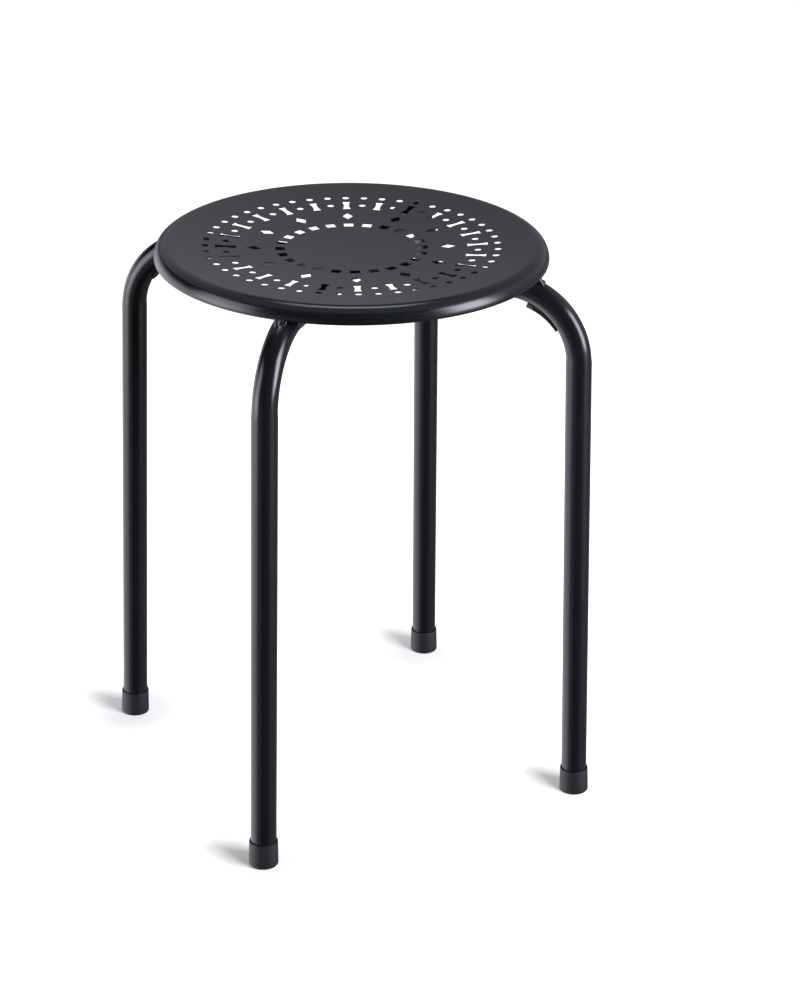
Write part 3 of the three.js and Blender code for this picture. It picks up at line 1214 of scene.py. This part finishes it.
@dataclass
class Studio:
    """The white floor and surround, the lamps and the camera."""

    floor_size: float = 12.0
    # Two distances from a foot, and how much the floor is lifted towards white at each. The lift is lower near a
    # foot: a painted shade round each foot, where its shadow falls, that fades out beyond.
    shadow_reach: tuple[float, float] = (0.02, 0.08)
    floor_lift: tuple[float, float] = (0.25, 0.85)
    # The world as it lights the stool, and as the camera sees it.
    world_levels: tuple[float, float] = (0.25, 1.0)
    aim_share: float = 0.9
    camera_place: tuple[float, float, float] = (-0.911169, -1.941254, 1.186787)
    camera_right: tuple[float, float, float] = (0.8993, -0.4372, 0.01074)
    camera_up: tuple[float, float, float] = (0.14936, 0.33013, 0.93204)
    lens_mm: float = 105.509
    sensor_mm: float = 36
    shift_up: float = -0.1495
    lamps: tuple[Softbox, ...] = (
        Softbox("top_softbox", 180, 74, 1.5, 0.75, 0.5, 4.5),
        Softbox("key_softbox", 50, 28, 1.5, 0.8, 0.6, 24.0, in_gloss=False),
    )
    tent_radius: float = 3.4
    cloth_level: float = 0.015
    tent_glows: tuple[Glow, ...] = (
        Glow(70, 12, -4, 33, 6, 13.0),
        Glow(66, 10, -24, 0, 14, 0.5),
        Glow(132, 58, 0, 32, 12, 0.4),
        Glow(-107, 41, -70, 4, 22, 1.9),
        Glow(-76, 13, -15, 30, 12, 4.0),
        Glow(-50, 10, -70, 0, 26, 0.3),
        Glow(106, 22, 24, 58, 16, 0.45),
        Glow(110, 66, -70, -2, 20, 0.2),
        Glow(0, 180, -75, 6, 16, 0.13),
    )
    ring_sides: int = 90
    ring_height: float = 0.23
    ring_gap: float = 2 * MM
    # At the ring's left and right, as the camera sees it.
    ring_levels: tuple[float, float] = (0.45, 0.32)
    ring_fade: float = 0.4

    def build(self) -> None:
        """Make the stage."""
        self.set_camera()
        self.lay_floor()
        self.hang_tent()
        self.ring_seat()
        self.light_world()
        for lamp in self.lamps:
            lamp.build(self.aim, self.camera_azimuth)
        bpy.context.scene.view_settings.view_transform = "Standard"

    @property
    def aim(self) -> Vector:
        """The point that the lamps face, a little below the seat."""
        return Vector((0, 0, cad_high.z * self.aim_share))

    @property
    def camera_azimuth(self) -> float:
        """The camera's direction from the stool's axis, in degrees from +X."""
        place = Vector(self.camera_place)
        return math.degrees(math.atan2(place.y, place.x))

    def set_camera(self) -> None:
        """Place the camera as the photograph was taken, from the front left and above."""
        camera = bpy.data.cameras.new("camera")
        camera.lens = self.lens_mm
        camera.sensor_width = self.sensor_mm
        camera.shift_y = self.shift_up
        holder = bpy.data.objects.new("camera", camera)
        bpy.context.scene.collection.objects.link(holder)
        right, up = Vector(self.camera_right), Vector(self.camera_up)
        turn = Matrix((right, up, right.cross(up))).transposed()
        holder.matrix_world = Matrix.Translation(self.camera_place) @ turn.to_4x4()
        bpy.context.scene.camera = holder

    @staticmethod
    def seen(tree: NodeTree) -> NodeSocket:
        """A value that is 1 for rays that see the background directly or in a gloss, and 0 for others."""
        rays = add_node(tree, "ShaderNodeLightPath").outputs
        direct = computed(tree, "MAXIMUM", rays["Is Camera Ray"], rays["Is Glossy Ray"])
        return computed(tree, "MAXIMUM", direct, rays["Is Transmission Ray"])

    def lay_floor(self) -> None:
        """Lay the floor: a pale matt sheet that keeps the stool's shadow and looks white beyond it."""
        clear_selection()
        bpy.ops.mesh.primitive_plane_add(size=self.floor_size)
        floor = named("floor")
        material, tree = new_material("matt_white_paper")
        paper = add_node(tree, "ShaderNodeBsdfDiffuse", inputs={"Color": linear("#e6e6e6")})
        quarter = vector_math(tree, "ABSOLUTE", object_place(tree))
        foot_x, foot_y, _ = frame["record"]["mounts"][0]["pos_m"]
        away = vector_math(tree, "DISTANCE", quarter, (abs(foot_x), abs(foot_y), 0))
        # The floor's glow is painted lower near each foot: painted shade round the feet.
        level = ranged(tree, away, self.shadow_reach, self.floor_lift, soft=True)
        lift = computed(tree, "MULTIPLY", self.seen(tree), level)
        glow = add_node(tree, "ShaderNodeEmission", inputs={"Strength": lift})
        both = add_node(tree, "ShaderNodeAddShader", inputs={0: paper.outputs[0], 1: glow.outputs[0]})
        add_node(tree, "ShaderNodeOutputMaterial", inputs={"Surface": both.outputs[0]})
        floor.data.materials.append(material)
        floor.visible_glossy = False

    def hang_tent(self) -> None:
        """Hang the tent that only the gloss shows: black cloth with soft patches of light."""
        clear_selection()
        bpy.ops.mesh.primitive_uv_sphere_add(
            segments=48, ring_count=24, radius=self.tent_radius, location=self.aim
        )
        tent = named("studio_tent")
        material, tree = new_material("black_tent_cloth_with_lit_patches")
        place = object_place(tree)
        direction = vector_math(tree, "NORMALIZE", place)
        upward = add_node(tree, "ShaderNodeSeparateXYZ", inputs={0: direction}).outputs["Z"]
        around = vector_math(tree, "NORMALIZE", vector_math(tree, "MULTIPLY", place, (1, 1, 0)))
        total = self.cloth_level
        for glow in self.tent_glows:
            level = glow.level(tree, around, upward, self.camera_azimuth)
            total = computed(tree, "ADD", total, level)
        cloth = self.card_glow(tree, total)
        add_node(tree, "ShaderNodeOutputMaterial", inputs={"Surface": cloth})
        self.show_in_gloss(tent, material)

    def ring_seat(self) -> None:
        """Stand a ring of dim card round the seat, so that the seat's face doesn't mirror the bright patches.

        The card is clear from outside and starts just above the rim, so that rim and legs are glossed past it.
        """
        reach = cad_high.x + self.ring_gap
        foot = cad_high.z + self.ring_gap
        top = foot + self.ring_height
        middle = (0, 0, foot + self.ring_height / 2)
        ring = cylinder("dim_card_ring", self.ring_sides, reach, self.ring_height, middle, ends="NOTHING")
        settled(ring)
        material, tree = new_material("dim_card")
        place = object_place(tree)
        picture_right = math.radians(self.camera_azimuth + 90)
        across = vector_math(tree, "DOT_PRODUCT", place, (math.cos(picture_right), math.sin(picture_right), 0))
        level = ranged(tree, across, (-reach, reach), self.ring_levels)
        height = add_node(tree, "ShaderNodeSeparateXYZ", inputs={0: place}).outputs["Z"]
        fade = ranged(tree, height, (top - self.ring_fade * self.ring_height, top), (1.0, 0.0), soft=True)
        glow = self.card_glow(tree, computed(tree, "MULTIPLY", level, fade))
        clear = add_node(tree, "ShaderNodeBsdfTransparent").outputs[0]
        side = add_node(tree, "ShaderNodeNewGeometry").outputs["Backfacing"]
        card = add_node(tree, "ShaderNodeMixShader", inputs={0: side, 1: clear, 2: glow}).outputs[0]
        add_node(tree, "ShaderNodeOutputMaterial", inputs={"Surface": card})
        self.show_in_gloss(ring, material)

    @staticmethod
    def card_glow(tree: NodeTree, strength: NodeSocket) -> NodeSocket:
        """The cool light that the tent's cloth and the ring's card give off."""
        inputs = {"Color": linear("#f3f5ff"), "Strength": strength}
        return add_node(tree, "ShaderNodeEmission", inputs=inputs).outputs[0]

    @staticmethod
    def show_in_gloss(sheet: Object, material: Material) -> None:
        """Give a sheet of the stage its glowing material, and show it to glossy rays alone."""
        material.cycles.emission_sampling = "NONE"
        sheet.data.materials.append(material)
        sheet.visible_camera = False
        sheet.visible_diffuse = False
        sheet.visible_transmission = False
        sheet.visible_shadow = False

    def light_world(self) -> None:
        """Fill the shadows evenly, and show white where nothing stands."""
        world = bpy.data.worlds.new("white_surround")
        bpy.context.scene.world = world
        tree = empty_tree(world)
        level = ranged(tree, self.seen(tree), (0.0, 1.0), self.world_levels)
        light = add_node(tree, "ShaderNodeBackground", inputs={"Color": linear("#ffffff"), "Strength": level})
        add_node(tree, "ShaderNodeOutputWorld", inputs={"Surface": light.outputs[0]})


def layout_of_frame() -> Layout:
    """Read the shared sizes from the frame."""
    _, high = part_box("seat_pan")
    sole = frame["record"]["mounts"][0]["pos_m"]
    return Layout(height=high.z, pan_radius=high.x, foot_radius=math.hypot(sole[0], sole[1]))


def main() -> None:
    """Build the stool and its stage."""
    logging.basicConfig(level=logging.INFO, format="%(name)s: %(message)s")
    layout = layout_of_frame()
    SeatPan(layout).build()
    HubWeld(layout).build()
    Leg(layout).build()
    Studio().build()


if __name__ == "__main__":
    main()
